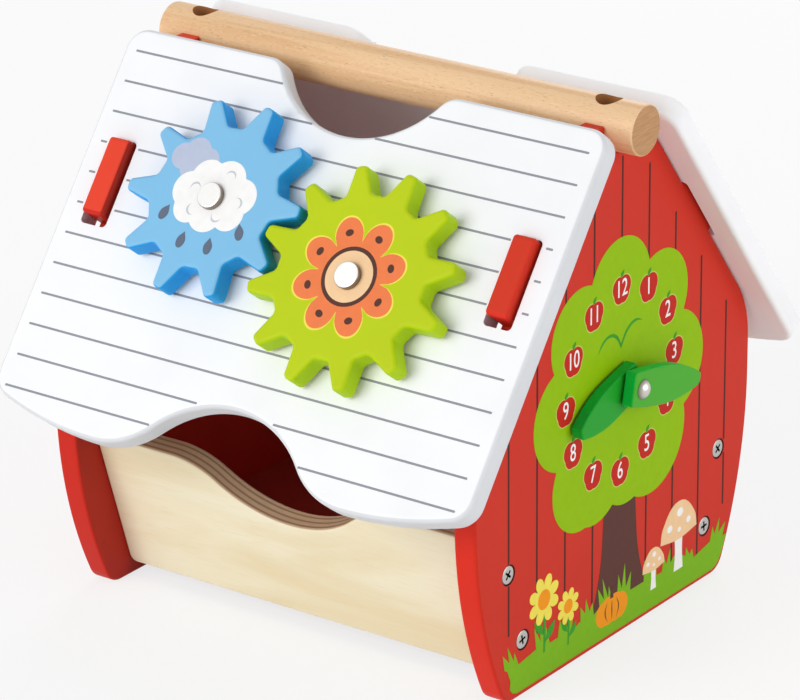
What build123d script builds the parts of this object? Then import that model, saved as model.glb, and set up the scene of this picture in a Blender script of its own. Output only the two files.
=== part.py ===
from build123d import *
from math import acos, asin, cos, degrees, radians, sin, tan
import os

# Activity farmhouse for a small child: two red gable boards, two leaning walls, a floor,
# a carrying bar, two lift-off roof panels, a pair of gears and a clock with two hands.
# Millimetres. +X runs along the ridge towards the clock gable, -Y is the gear side, +Z is up.
# The origin is on the ground, below the middle of the ridge.

# Boards and the house
board = 12.0                  # thickness of the gables, walls and roof panels
edge_radius = 1.5             # rounding along the edges of the gables and walls
house_length = 245.0          # over the outer faces of the gables
pitch = 52.55                 # slope of the roof, degrees
ridge_height = 283.35         # where the undersides of the two panels would meet

# Gable boards
gable_width = 231.4           # at the widest
gable_taper = 23.85           # each side comes in by this much down to the foot
belly_drop = 32.65            # from the corner of slope and side down to the widest place
shoulder_radius = 48.0        # where the side turns into the slope
foot_radius = 11.0            # at the two ends of the foot
horn_width = 6.22             # flat top of a horn, between the carrying bar and the slope
horn_stand = 2.4              # its height above the axis of the carrying bar
horn_radius = 2.9             # rounding of a horn

# Tabs that stand through the slots of the roof
tab_run = 89.5                # from the ridge line down the slope to the tab
tab_length = 39.0             # along the slope
tab_stand = 4.8               # above the top of the panel
tab_radius = 2.0              # corners of a tab

# Carrying bar
bar_diameter = 24.4
bar_overhang = 14.1           # beyond the outer face of a gable
bar_rounding = 1.2            # round the ends

# Leaning walls
wall_lean = 17.23             # from upright, degrees
wall_inset = 20.1             # mid-plane at the lower edge, in from the end of a gable's foot
wall_base = 8.9               # height of the lower edge, on the mid-plane
wall_height = 79.4            # along the board
wall_dip = 23.7               # depth of the wave in the upper edge
wall_dip_radius = 62.0        # its bottom
wall_crest_radius = 39.3      # where it runs out into the level edge
wall_corner_radius = 4.0      # ends of the lower edge

# Floor
floor_thickness = 5.0
floor_height = 12.0           # underside of the floor
groove_depth = 3.0            # let into the gables

# Roof panels
panel_run = 33.0              # from the ridge line down the slope to the upper edge
panel_overhang = 14.9         # along the ridge, beyond the outer face of a gable
panel_depth = 198.6           # down the slope
panel_edge_radius = 2.5       # rounding along the edges of a panel
panel_corner = 10.5           # upper corners
eave_corner = 12.0            # lower corners
hand_notch_depth = 29.3       # notch below the carrying bar
hand_notch_radius = 54.0
hand_notch_shoulder = 11.0
eave_wave_depth = 31.4        # hollow in the middle of the lower edge
eave_wave_radius = 56.0
eave_lobe_radius = 41.0
eave_sweep_radius = 188.0     # lower edge out to the corners
slot_side_play = 1.6          # on each side of a tab
slot_slack = 4.4              # below a tab, so that the panel hooks on with ease
slot_corner = 2.3

# Gears on the front panel
gear_thickness = 12.0
gear_module = 8.218           # pitch diameter for each tooth
gear_angle = -13.17           # from the blue gear to the green one, degrees
gears_across = -2.3           # middle of the pair, from the middle of the panel
gears_run = 119.2             # middle of the pair, down the slope from the ridge line
blue_teeth = 10
green_teeth = 12
blue_addendum = 0.999         # from the pitch circle to a tooth's tip, in modules
green_addendum = 0.607
blue_gear_turn = -1.2         # from the middle of its play in the green gear's teeth, degrees
tooth_base = 1.683            # width at the root, in modules
tooth_tip = 0.697             # width at the tip, in modules
tooth_tip_radius = 0.313      # in modules
tooth_root_radius = 0.409     # in modules
tip_clearance = 0.9           # from a tooth's tip to the other gear's root
gear_edge_radius = 2.0
spacer_thickness = 1.6
spacer_diameter = 18.0

# Gear bolts, with a flat head outside and a cap nut under the panel
gear_bolt_diameter = 8.0
gear_bolt_head = 13.0
gear_bolt_head_height = 3.0
stud_diameter = 5.0
nut_diameter = 14.0
nut_height = 5.0
stud_depth = 3.8              # how far the stud goes into its cap nut
head_rounding = 0.9

# Clock on the gable at +X
clock_height = 129.8          # axis of the hands
hand_thickness = 6.0
hand_width = 19.0             # at the widest
hand_tail = 8.0               # behind the axis
hand_tail_width = 16.4
hand_tail_radius = 1.6        # corners of the tail
hand_end_width = 5.4
hand_end_radius = 2.2         # corners of the tip
hand_edge_radius = 0.8
hour_length = 41.5
hour_widest = 14.6            # from the axis to the widest place
minute_length = 51.0
minute_widest = 18.0
hour_angle = 195.8            # from +Y, turning towards +Z, degrees
minute_angle = -12.5
clock_bolt_diameter = 6.0
clock_head_diameter = 9.6
clock_head_height = 2.7
clock_washer_diameter = 12.0
clock_washer_thickness = 0.6

# Screws
screw_diameter = 4.0
screw_length = 32.0           # below the head
screw_head_diameter = 9.0
screw_head_height = 2.2
counterbore_depth = 2.4
counterbore_play = 0.5        # round a screw's head
drill_play = 1.0              # a screw's hole runs this much past its point
recess_width = 1.3            # arms of the cross recess
recess_reach = 5.6
recess_depth = 1.3
wall_screw_low = 20.2         # up the wall from its lower edge
wall_screw_pitch = 38.6
bar_counterbore_depth = 9.0
bar_counterbore_play = 1.85    # round a screw's head, in the carrying bar

# Clearances
seat_gap = 0.3                # between a lift-off panel and what carries it
face_gap = 0.25               # beside a turning piece
running_gap = 0.08            # radial, on a bolt
fit_gap = 0.05                # radial, round a fixed bolt or screw

slope_cos = cos(radians(pitch))
slope_sin = sin(radians(pitch))
gable_outer = house_length / 2
gable_inner = gable_outer - board
gable_middle = gable_outer - board / 2
gable_foot = gable_width / 2 - gable_taper
wall_foot = gable_foot - wall_inset
counterbore_radius = screw_head_diameter / 2 + counterbore_play
bar_counterbore_radius = screw_head_diameter / 2 + bar_counterbore_play

# The slopes of a gable lie below the panels by the seat's gap, and the carrying bar between them
bar_radius = bar_diameter / 2
horn_height = ridge_height - (bar_radius + horn_width) * tan(radians(pitch)) - seat_gap / slope_cos
bar_height = horn_height - horn_stand
bar_seat = bar_height - bar_radius
bar_screw_seat = bar_height + bar_radius - bar_counterbore_depth


def slope_point(run, rise):
    # Across and up from the middle, for a point down the slope and above the panel's underside
    return (
        run * slope_cos + rise * slope_sin,
        ridge_height - run * slope_sin + rise * slope_cos,
    )


def roof_plane(side):
    # Underside of a panel: local X along the ridge, local Y up the slope, side -1 at the front
    return Plane(
        origin=(0, 0, ridge_height),
        x_dir=(-side, 0, 0),
        z_dir=(0, side * slope_sin, slope_cos),
    )


def gable_plane(end, distance):
    # Upright plane across the house, facing outwards, end +1 at the clock
    return Plane(origin=(end * distance, 0, 0), x_dir=(0, end, 0), z_dir=(end, 0, 0))


def wall_point(height_on_wall):
    # Middle of the board, measured up the leaning wall from its lower edge
    lean = radians(wall_lean)
    return (
        wall_foot + height_on_wall * sin(lean),
        wall_base + height_on_wall * cos(lean),
    )


def wave(middle, depth, inner_radius, outer_radius, way):
    # Half of a wavy edge, from its middle out to where it runs level; way +1 is a hump
    angle = degrees(acos(1 - depth / (inner_radius + outer_radius)))
    reach = (inner_radius + outer_radius) * sin(radians(angle))
    level = middle - way * depth
    CenterArc((0, middle - way * inner_radius), inner_radius, way * 90, -way * angle)
    CenterArc(
        (reach, level + way * outer_radius), outer_radius, -way * (90 + angle), way * angle
    )
    return reach, level


def corner(shape, point):
    # The vertex of a sketch that lies nearest to a point of its own plane
    return shape.vertices().sort_by_distance(point)[0]


wall_screws = [wall_point(wall_screw_low), wall_point(wall_screw_low + wall_screw_pitch)]
gable_screws = [(side * across, up) for side in (-1, 1) for across, up in wall_screws]

# Inner faces of the walls where the floor meets them
lean_tan = tan(radians(wall_lean))
wall_half_thickness = board / 2 / cos(radians(wall_lean))
floor_half = wall_foot + (floor_height - wall_base) * lean_tan - wall_half_thickness - fit_gap

# Template of a cross-headed screw, head seat at the origin, head towards +Z
with BuildPart() as screw:
    with BuildSketch(Plane.XZ):
        with BuildLine():
            Polyline(
                (0, screw_head_height),
                (0, -screw_length),
                (screw_diameter / 2, -screw_length + screw_diameter),
                (screw_diameter / 2, 0),
                (screw_head_diameter / 2, 0),
                (screw_head_diameter / 2, screw_head_height / 3),
            )
            TangentArc(
                (0, screw_head_height),
                (screw_head_diameter / 2, screw_head_height / 3),
                tangent=(1, 0),
            )
        make_face()
    revolve(axis=Axis.Z)
    with BuildSketch(Plane.XY.offset(screw_head_height)):
        Rectangle(recess_reach, recess_width)
        Rectangle(recess_width, recess_reach)
    extrude(amount=-recess_depth, mode=Mode.SUBTRACT)


def screw_group(places):
    with BuildPart() as group:
        with Locations(*places):
            add(screw.part)
    return group


# Gables
def gable_board(end):
    plane = gable_plane(end, gable_inner)
    half = gable_width / 2
    slope_end = ridge_height - half * tan(radians(pitch)) - seat_gap / slope_cos
    belly_height = slope_end - belly_drop
    horn_tip = (bar_radius + horn_width, horn_height)
    tab_top = board + tab_stand
    tab_end = tab_run + tab_length
    with BuildPart() as gable:
        with BuildSketch(plane) as profile:
            with BuildLine():
                Line((0, 0), (gable_foot, 0))
                TangentArc((half, belly_height), (gable_foot, 0), tangent=(0, -1))
                Polyline(
                    (half, belly_height),
                    (half, slope_end),
                    slope_point(tab_end, -seat_gap),
                    slope_point(tab_end, tab_top),
                    slope_point(tab_run, tab_top),
                    slope_point(tab_run, -seat_gap),
                    horn_tip,
                    (bar_radius, horn_height),
                    (bar_radius, bar_height),
                )
                CenterArc((0, bar_height), bar_radius, 0, -90)
                mirror(about=Plane.YZ)
            make_face()
            for side in (-1, 1):
                fillet(corner(profile, (side * half, slope_end)), shoulder_radius)
                fillet(corner(profile, (side * gable_foot, 0)), foot_radius)
                for run in (tab_run, tab_end):
                    across, up = slope_point(run, tab_top)
                    fillet(corner(profile, (side * across, up)), tab_radius)
                fillet(corner(profile, (side * horn_tip[0], horn_tip[1])), horn_radius)
        extrude(amount=board)
        faces = gable.faces().filter_by(Axis.X)
        rims = faces.edges().filter_by(lambda edge: (edge @ 0.5).Z < bar_seat)
        fillet(rims, edge_radius)
        with BuildSketch(plane):
            with Locations((0, floor_height + floor_thickness / 2)):
                Rectangle(2 * floor_half + 2 * fit_gap, floor_thickness + 2 * fit_gap)
        extrude(amount=groove_depth + fit_gap, mode=Mode.SUBTRACT)
        with Locations(plane.offset(board)):
            with Locations(*gable_screws):
                CounterBoreHole(
                    screw_diameter / 2 + fit_gap, counterbore_radius, counterbore_depth, board
                )
        with Locations((end * gable_middle, 0, bar_seat)):
            screw_point = bar_screw_seat - screw_length
            Hole(screw_diameter / 2 + fit_gap, bar_seat - screw_point + drill_play)
    return gable


gable_right = gable_board(1)
with gable_right:
    with Locations(gable_plane(1, gable_outer)):
        with Locations((0, clock_height)):
            Hole(clock_bolt_diameter / 2 + fit_gap)

gable_left = gable_board(-1)


wall_screw_depth = screw_length - board + counterbore_depth + drill_play


# Leaning walls, drawn on the inner side and laid outwards
def wall_board(side):
    lean = radians(wall_lean)
    inner = Plane(
        origin=(0, side * wall_foot, wall_base),
        x_dir=(-side, 0, 0),
        z_dir=(0, side * cos(lean), -sin(lean)),
    ).offset(-board / 2)
    with BuildPart() as wall:
        with BuildSketch(inner) as profile:
            with BuildLine():
                low = wall_height - wall_dip
                reach, level = wave(low, wall_dip, wall_dip_radius, wall_crest_radius, -1)
                Polyline((reach, level), (gable_inner, level), (gable_inner, 0), (0, 0))
                mirror(about=Plane.YZ)
            make_face()
            for end in (-1, 1):
                fillet(corner(profile, (end * gable_inner, 0)), wall_corner_radius)
        extrude(amount=board)
        fillet(wall.faces().filter_by(inner).edges(), edge_radius)
        for end in (-1, 1):
            for across, up in wall_screws:
                with Locations(Plane((end * gable_inner, side * across, up), z_dir=(end, 0, 0))):
                    Hole(screw_diameter / 2 + fit_gap, wall_screw_depth)
    return wall


front_wall = wall_board(-1)
back_wall = wall_board(1)

# Floor, with its ends in the grooves of the gables
with BuildPart() as floor_panel:
    with BuildSketch(Plane.XY.offset(floor_height)):
        Rectangle(2 * (gable_inner + groove_depth), 2 * floor_half)
    extrude(amount=floor_thickness)

# Carrying bar, with a counterbored hole over each gable
with BuildPart() as handle_bar:
    with BuildSketch(Plane.YZ):
        with Locations((0, bar_height)):
            Circle(bar_radius)
    extrude(amount=gable_outer + bar_overhang, both=True)
    fillet(handle_bar.edges().filter_by(GeomType.CIRCLE), bar_rounding)
    with Locations(*[(end * gable_middle, 0, bar_height + bar_radius) for end in (-1, 1)]):
        CounterBoreHole(
            screw_diameter / 2 + fit_gap,
            bar_counterbore_radius,
            bar_counterbore_depth,
            bar_diameter,
        )

# Screws
screw_seat = gable_outer - counterbore_depth
wall_screws_right = screw_group([gable_plane(1, screw_seat) * Pos(*at) for at in gable_screws])
wall_screws_left = screw_group([gable_plane(-1, screw_seat) * Pos(*at) for at in gable_screws])
handle_screws = screw_group([(end * gable_middle, 0, bar_screw_seat) for end in (-1, 1)])


# Roof panels
def roof_board(side):
    upper = -panel_run
    lower = upper - panel_depth
    half = gable_outer + panel_overhang
    with BuildPart() as panel:
        with BuildSketch(roof_plane(side)) as profile:
            with BuildLine():
                reach, level = wave(
                    lower + eave_wave_depth, eave_wave_depth, eave_wave_radius, eave_lobe_radius, 1
                )
                sweep = asin((half - reach) / eave_sweep_radius)
                eave = level + eave_sweep_radius * (1 - cos(sweep))
                CenterArc(
                    (reach, level + eave_sweep_radius), eave_sweep_radius, -90, degrees(sweep)
                )
                Polyline((half, eave), (half, upper), (0, upper))
                mirror(about=Plane.YZ)
            make_face()
            with Locations((0, upper - hand_notch_depth + hand_notch_radius)):
                Circle(hand_notch_radius, mode=Mode.SUBTRACT)
            notch_rise = hand_notch_radius - hand_notch_depth
            notch_half = (hand_notch_radius**2 - notch_rise**2) ** 0.5
            for end in (-1, 1):
                fillet(corner(profile, (end * half, eave)), eave_corner)
                fillet(corner(profile, (end * half, upper)), panel_corner)
                fillet(corner(profile, (end * notch_half, upper)), hand_notch_shoulder)
        extrude(amount=board)
        faces = panel.faces().filter_by(roof_plane(side))
        fillet(faces.edges(), panel_edge_radius)
        slot_width = board + 2 * slot_side_play
        slot_length = seat_gap + tab_length + slot_slack
        slot_middle = -(tab_run - seat_gap + slot_length / 2)
        with BuildSketch(roof_plane(side)):
            with Locations((-gable_middle, slot_middle), (gable_middle, slot_middle)):
                RectangleRounded(slot_width, slot_length, slot_corner)
        extrude(amount=board, mode=Mode.SUBTRACT)
    return panel


back_roof_panel = roof_board(1)
front_roof_panel = roof_board(-1)

# Axes of the two gears on the front panel
blue_pitch_radius = gear_module * blue_teeth / 2
green_pitch_radius = gear_module * green_teeth / 2
gear_distance = blue_pitch_radius + green_pitch_radius
half_step_across = gear_distance / 2 * cos(radians(gear_angle))
half_step_down = -gear_distance / 2 * sin(radians(gear_angle))
blue_axis = (gears_across - half_step_across, -gears_run + half_step_down)
green_axis = (gears_across + half_step_across, -gears_run - half_step_down)
with front_roof_panel:
    with Locations(roof_plane(-1).offset(board)):
        with Locations(blue_axis, green_axis):
            Hole(gear_bolt_diameter / 2 + fit_gap, board)

gear_base = board + spacer_thickness + face_gap
gear_top = gear_base + gear_thickness
bolt_seat = gear_top + face_gap


# Gears with rounded teeth
def gear_wheel(axis, teeth, tip_radius, root_radius, first_tooth):
    half_base = gear_module * tooth_base / 2
    half_tip = gear_module * tooth_tip / 2
    foot = (root_radius**2 - half_base**2) ** 0.5
    with BuildPart() as gear:
        with BuildSketch(roof_plane(-1).offset(gear_base)) as profile:
            with Locations(axis):
                Circle(root_radius)
                with PolarLocations(0, teeth, first_tooth):
                    Polygon(
                        (0, half_base),
                        (0, -half_base),
                        (foot, -half_base),
                        (tip_radius, -half_tip),
                        (tip_radius, half_tip),
                        (foot, half_base),
                        align=None,
                    )
            middle_radius = (tip_radius + root_radius) / 2
            tips = profile.vertices().filter_by(
                lambda vertex: (Vector(vertex) - Vector(*axis)).length > middle_radius
            )
            fillet(tips, gear_module * tooth_tip_radius)
            roots = profile.vertices().filter_by(
                lambda vertex: (Vector(vertex) - Vector(*axis)).length < root_radius + fit_gap
            )
            fillet(roots, gear_module * tooth_root_radius)
        extrude(amount=gear_thickness)
        fillet(gear.faces().filter_by(roof_plane(-1)).edges(), gear_edge_radius)
        with Locations(roof_plane(-1).offset(gear_top)):
            with Locations(axis):
                Hole(gear_bolt_diameter / 2 + running_gap, gear_thickness)
    return gear


# One tooth of the green gear stands on the line between the axes, in a gap of the blue one
blue_tip_radius = blue_pitch_radius + gear_module * blue_addendum
green_tip_radius = green_pitch_radius + gear_module * green_addendum
blue_root_radius = gear_distance - green_tip_radius - tip_clearance
green_root_radius = gear_distance - blue_tip_radius - tip_clearance
blue_first_tooth = gear_angle + 180 / blue_teeth + blue_gear_turn
blue_gear = gear_wheel(
    blue_axis, blue_teeth, blue_tip_radius, blue_root_radius, blue_first_tooth
)
green_gear = gear_wheel(
    green_axis, green_teeth, green_tip_radius, green_root_radius, gear_angle + 180
)


# A disc with a hole, its lower face at a height above the panel's underside
def spacer(axis, height, thickness, outer, bore):
    with BuildPart() as ring:
        with BuildSketch(roof_plane(-1).offset(height)):
            with Locations(axis):
                Circle(outer / 2)
                Circle(bore / 2, mode=Mode.SUBTRACT)
        extrude(amount=thickness)
    return ring


spacer_bore = gear_bolt_diameter + 2 * fit_gap
blue_gear_spacer = spacer(blue_axis, board, spacer_thickness, spacer_diameter, spacer_bore)
green_gear_spacer = spacer(green_axis, board, spacer_thickness, spacer_diameter, spacer_bore)


def gear_bolt(axis):
    with BuildPart() as bolt:
        with BuildSketch(roof_plane(-1).offset(bolt_seat)):
            with Locations(axis):
                Circle(gear_bolt_head / 2)
        extrude(amount=gear_bolt_head_height)
        fillet(bolt.edges().filter_by(GeomType.CIRCLE).sort_by(Axis.Z)[-1], head_rounding)
        with BuildSketch(roof_plane(-1)):
            with Locations(axis):
                Circle(gear_bolt_diameter / 2)
        extrude(amount=bolt_seat)
        with BuildSketch(roof_plane(-1)):
            with Locations(axis):
                Circle(stud_diameter / 2)
        extrude(amount=-stud_depth)
    return bolt


def gear_nut(axis):
    with BuildPart() as nut:
        with BuildSketch(roof_plane(-1)):
            with Locations(axis):
                Circle(nut_diameter / 2)
        extrude(amount=-nut_height)
        with BuildSketch(roof_plane(-1)):
            with Locations(axis):
                Circle(stud_diameter / 2 + fit_gap)
        extrude(amount=-stud_depth - fit_gap, mode=Mode.SUBTRACT)
    return nut


blue_gear_bolt = gear_bolt(blue_axis)
green_gear_bolt = gear_bolt(green_axis)
blue_gear_nut = gear_nut(blue_axis)
green_gear_nut = gear_nut(green_axis)

# Clock: washer, hour hand, washer, minute hand and the bolt's head, outwards along +X
hour_base = gable_outer + clock_washer_thickness + 2 * face_gap
minute_base = hour_base + hand_thickness + clock_washer_thickness + 2 * face_gap
clock_seat = minute_base + hand_thickness + face_gap


def clock_plane(distance, angle=0.0):
    # Upright plane on the axis of the hands, local X turned from +Y towards +Z
    turn = radians(angle)
    return Plane(
        origin=(distance, 0, clock_height),
        x_dir=(0, cos(turn), sin(turn)),
        z_dir=(1, 0, 0),
    )


def clock_hand(base, length, widest, angle):
    # Two arcs on each side meet at the widest place, level with the hand's middle line
    plane = clock_plane(base, angle)
    broad = (widest, hand_width / 2)
    tail = (-hand_tail, hand_tail_width / 2)
    end = (length, hand_end_width / 2)
    with BuildPart() as hand:
        with BuildSketch(plane) as profile:
            with BuildLine():
                Line((-hand_tail, 0), tail)
                TangentArc(broad, tail, tangent=(-1, 0))
                TangentArc(broad, end, tangent=(1, 0))
                Line(end, (length, 0))
                mirror(about=Plane.XZ)
            make_face()
            for side in (-1, 1):
                fillet(corner(profile, (length, side * hand_end_width / 2)), hand_end_radius)
                fillet(corner(profile, (-hand_tail, side * hand_tail_width / 2)), hand_tail_radius)
        extrude(amount=hand_thickness)
        fillet(hand.faces().filter_by(Axis.X).edges(), hand_edge_radius)
        with Locations(clock_plane(base + hand_thickness)):
            Hole(clock_bolt_diameter / 2 + running_gap, hand_thickness)
    return hand


hour_hand = clock_hand(hour_base, hour_length, hour_widest, hour_angle)
minute_hand = clock_hand(minute_base, minute_length, minute_widest, minute_angle)

with BuildPart() as clock_bolt:
    with BuildSketch(Plane.XZ):
        with BuildLine():
            Polyline(
                (clock_seat, clock_height + clock_head_diameter / 2),
                (clock_seat, clock_height + clock_bolt_diameter / 2),
                (gable_inner, clock_height + clock_bolt_diameter / 2),
                (gable_inner, clock_height + stud_diameter / 2),
                (gable_inner - stud_depth, clock_height + stud_diameter / 2),
                (gable_inner - stud_depth, clock_height),
                (clock_seat + clock_head_height, clock_height),
            )
            TangentArc(
                (clock_seat + clock_head_height, clock_height),
                (clock_seat, clock_height + clock_head_diameter / 2),
                tangent=(0, 1),
            )
        make_face()
    revolve(axis=Axis((0, 0, clock_height), (1, 0, 0)))

with BuildPart() as clock_nut:
    with BuildSketch(clock_plane(gable_inner)):
        Circle(nut_diameter / 2)
    extrude(amount=-nut_height)
    fillet(clock_nut.edges().filter_by(GeomType.CIRCLE).sort_by(Axis.X)[0], head_rounding)
    with BuildSketch(clock_plane(gable_inner)):
        Circle(stud_diameter / 2 + fit_gap)
    extrude(amount=-stud_depth - fit_gap, mode=Mode.SUBTRACT)

with BuildPart() as clock_washers:
    inner_washer = clock_plane(gable_outer)
    middle_washer = clock_plane(minute_base - face_gap - clock_washer_thickness)
    for plane in (inner_washer, middle_washer):
        with BuildSketch(plane):
            Circle(clock_washer_diameter / 2)
            Circle(clock_bolt_diameter / 2 + fit_gap, mode=Mode.SUBTRACT)
        extrude(amount=clock_washer_thickness)

pieces = {
    "gable_right": gable_right,
    "gable_left": gable_left,
    "front_wall": front_wall,
    "back_wall": back_wall,
    "floor_panel": floor_panel,
    "handle_bar": handle_bar,
    "handle_screws": handle_screws,
    "wall_screws_right": wall_screws_right,
    "wall_screws_left": wall_screws_left,
    "front_roof_panel": front_roof_panel,
    "back_roof_panel": back_roof_panel,
    "blue_gear": blue_gear,
    "green_gear": green_gear,
    "blue_gear_spacer": blue_gear_spacer,
    "green_gear_spacer": green_gear_spacer,
    "blue_gear_bolt": blue_gear_bolt,
    "green_gear_bolt": green_gear_bolt,
    "blue_gear_nut": blue_gear_nut,
    "green_gear_nut": green_gear_nut,
    "hour_hand": hour_hand,
    "minute_hand": minute_hand,
    "clock_bolt": clock_bolt,
    "clock_nut": clock_nut,
    "clock_washers": clock_washers,
}

os.makedirs("parts", exist_ok=True)
for name, piece in pieces.items():
    piece.part.label = name
    export_step(piece.part, "parts/" + name + ".step")
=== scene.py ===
import math

import bpy
from mathutils import Matrix, Vector


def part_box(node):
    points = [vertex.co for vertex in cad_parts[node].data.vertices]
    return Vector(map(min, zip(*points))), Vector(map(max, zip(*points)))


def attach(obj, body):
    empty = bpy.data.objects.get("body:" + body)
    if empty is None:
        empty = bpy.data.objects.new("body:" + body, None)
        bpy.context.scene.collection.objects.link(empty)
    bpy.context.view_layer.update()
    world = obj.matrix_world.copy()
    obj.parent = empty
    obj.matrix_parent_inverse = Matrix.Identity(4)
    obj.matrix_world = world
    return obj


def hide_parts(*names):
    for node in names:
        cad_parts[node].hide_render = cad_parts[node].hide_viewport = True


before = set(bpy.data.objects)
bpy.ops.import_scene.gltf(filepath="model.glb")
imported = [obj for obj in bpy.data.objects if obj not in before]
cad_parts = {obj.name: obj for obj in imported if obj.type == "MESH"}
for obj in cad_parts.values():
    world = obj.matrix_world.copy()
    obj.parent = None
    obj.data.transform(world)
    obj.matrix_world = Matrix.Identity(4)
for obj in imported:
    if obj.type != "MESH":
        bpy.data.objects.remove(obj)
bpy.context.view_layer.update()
mm = 0.001
print("frame loaded:", len(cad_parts), "nodes")


def deselect():
    bpy.ops.object.select_all(action="DESELECT")


def applyPlace():
    bpy.ops.object.transform_apply(location=True, rotation=True, scale=True)


deselect()

# The house's own sizes, as the boards are cut
house = {
    "pitch": math.radians(52.55),              # slope of the roof
    "ridge": 283.35 * mm,                      # where the undersides of the panels would meet
    "board": 12 * mm,
    "gableFace": 122.5 * mm,                   # outer face of a gable
    "wallLean": math.radians(17.23),
    "wallFoot": 71.75 * mm,                    # middle of a wall at its lower edge
    "wallBase": 8.9 * mm,
    "screwsUp": (20.2 * mm, 58.8 * mm),        # screws up a wall's slope from its lower edge
    "gearTop": 25.85 * mm,                     # outer face of the gears above a panel's underside
    "blueGear": (-46.31 * mm, 108.90 * mm),    # across, and down the slope from the ridge line
    "greenGear": (41.71 * mm, 129.50 * mm),
    "printShift": 2.4 * mm,                    # the clock print sits a little towards the back
    "barHole": 116.5 * mm,                     # middles of the holes along the carrying bar
}
slopeCos, slopeSin = math.cos(house["pitch"]), math.sin(house["pitch"])
roofNormal = {-1: Vector((0, -slopeSin, slopeCos)), 1: Vector((0, slopeSin, slopeCos))}

wallUp = Vector((0, math.sin(house["wallLean"]), math.cos(house["wallLean"])))
wallOut = Vector((0, wallUp.z, -wallUp.y))
wallStart = Vector((0, house["wallFoot"], house["wallBase"]))
screwSpots = [wallStart + wallUp * along for along in house["screwsUp"]]


# Where a print lies: its own X to the right, Y up and Z out of the wood
def surface(origin, right, up):
    right, up = Vector(right), Vector(up)
    turn = Matrix((right, up, right.cross(up))).transposed().to_4x4()
    return Matrix.Translation(origin) @ turn


def onRoof(side, across, run, rise):
    ridge = Vector((0, 0, house["ridge"]))
    down = Vector((0, side * slopeCos, -slopeSin))
    origin = ridge + down * run + roofNormal[side] * rise + Vector((-side * across, 0, 0))
    return surface(origin, (-side, 0, 0), -down)


places = {
    "clockGable": surface((house["gableFace"], house["printShift"], 0), (0, 1, 0), (0, 0, 1)),
    "plainGable": surface((-house["gableFace"], 0, 0), (0, -1, 0), (0, 0, 1)),
    "frontRoof": onRoof(-1, 0, 0, house["board"]),
    "backRoof": onRoof(1, 0, 0, house["board"]),
    "blueGear": onRoof(-1, *house["blueGear"], house["gearTop"]),
    "greenGear": onRoof(-1, *house["greenGear"], house["gearTop"]),
}


# Materials

def linear(colour):
    values = [int(colour[i:i + 2], 16) / 255 for i in (1, 3, 5)]
    return [v / 12.92 if v <= 0.04045 else ((v + 0.055) / 1.055) ** 2.4 for v in values] + [1.0]


def addNode(tree, kind, settings, links):
    made = tree.nodes.new("ShaderNode" + kind)
    for name, value in settings.items():
        setattr(made, name, value)
    for name, value in links.items():
        if isinstance(value, bpy.types.NodeSocket):
            tree.links.new(value, made.inputs[name])
        else:
            made.inputs[name].default_value = value
    return made


def newMaterial(name, look):
    material = bpy.data.materials.new(name)
    material.use_nodes = True
    shader = material.node_tree.nodes["Principled BSDF"]
    for socket, value in look.items():
        shader.inputs[socket].default_value = value
    return material, material.node_tree, shader


# One tone turns into another where a value passes from the first limit to the second
def blendTones(tree, value, limits, below, above, blend="SMOOTHSTEP", most=1.0):
    turn = addNode(
        tree, "MapRange", {"interpolation_type": blend},
        {"Value": value, "From Min": limits[0], "From Max": limits[1], "To Max": most},
    )
    links = {0: turn.outputs[0], 6: below, 7: above}
    return addNode(tree, "Mix", {"data_type": "RGBA"}, links).outputs[2]


# A tone grows darker and lighter with a pattern, between two levels
def unevenTone(tree, tone, pattern, levels):
    level = addNode(
        tree, "MapRange", {}, {"Value": pattern, "To Min": levels[0], "To Max": levels[1]}
    )
    links = {"Color": tone, "Value": level.outputs[0]}
    return addNode(tree, "HueSaturation", {}, links).outputs[0]


# How far a point lies from the axis of a hole, which is there on both sides of the middle
def reachFrom(tree, spot, hole, across):
    folded = addNode(tree, "VectorMath", {"operation": "ABSOLUTE"}, {0: spot})
    links = {0: folded.outputs[0], 1: across}
    flat = addNode(tree, "VectorMath", {"operation": "MULTIPLY"}, links)
    links = {0: flat.outputs[0], 1: tuple(hole)}
    return addNode(tree, "VectorMath", {"operation": "DISTANCE"}, links).outputs["Value"]


paint = {
    "fibreLength": 9.0,       # mm, fibres of the wood that telegraph through the paint
    "fibreWidth": 0.7,
    "fibreDepth": 0.02,
    "fibreStrength": 0.5,
    "cloudSize": 35.0,        # mm, slow drift of the coat's thickness
    "drift": 0.05,
    "gloss": 0.14,            # a sprayed coat of matt varnish holds the shine back
    "edgeTurn": (0.60, 0.80),  # from the side's colour to the face's, by the cosine to the face
    "broadEdge": (0.86, 0.98),  # the same, reaching far into the rounding, for the front panel's painted shade on its edges
    "upTurn": (0.35, 0.55),   # from the side's colour to the painted highlight on top, by how far it looks up
    "boreEdge": (5.4 * mm, 5.1 * mm),  # fading into the painted shade in and round a screw's counterbore
    # painted shade for the counterbores and a thin rim round them
    "boreShade": "#6E1815",
}
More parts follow.
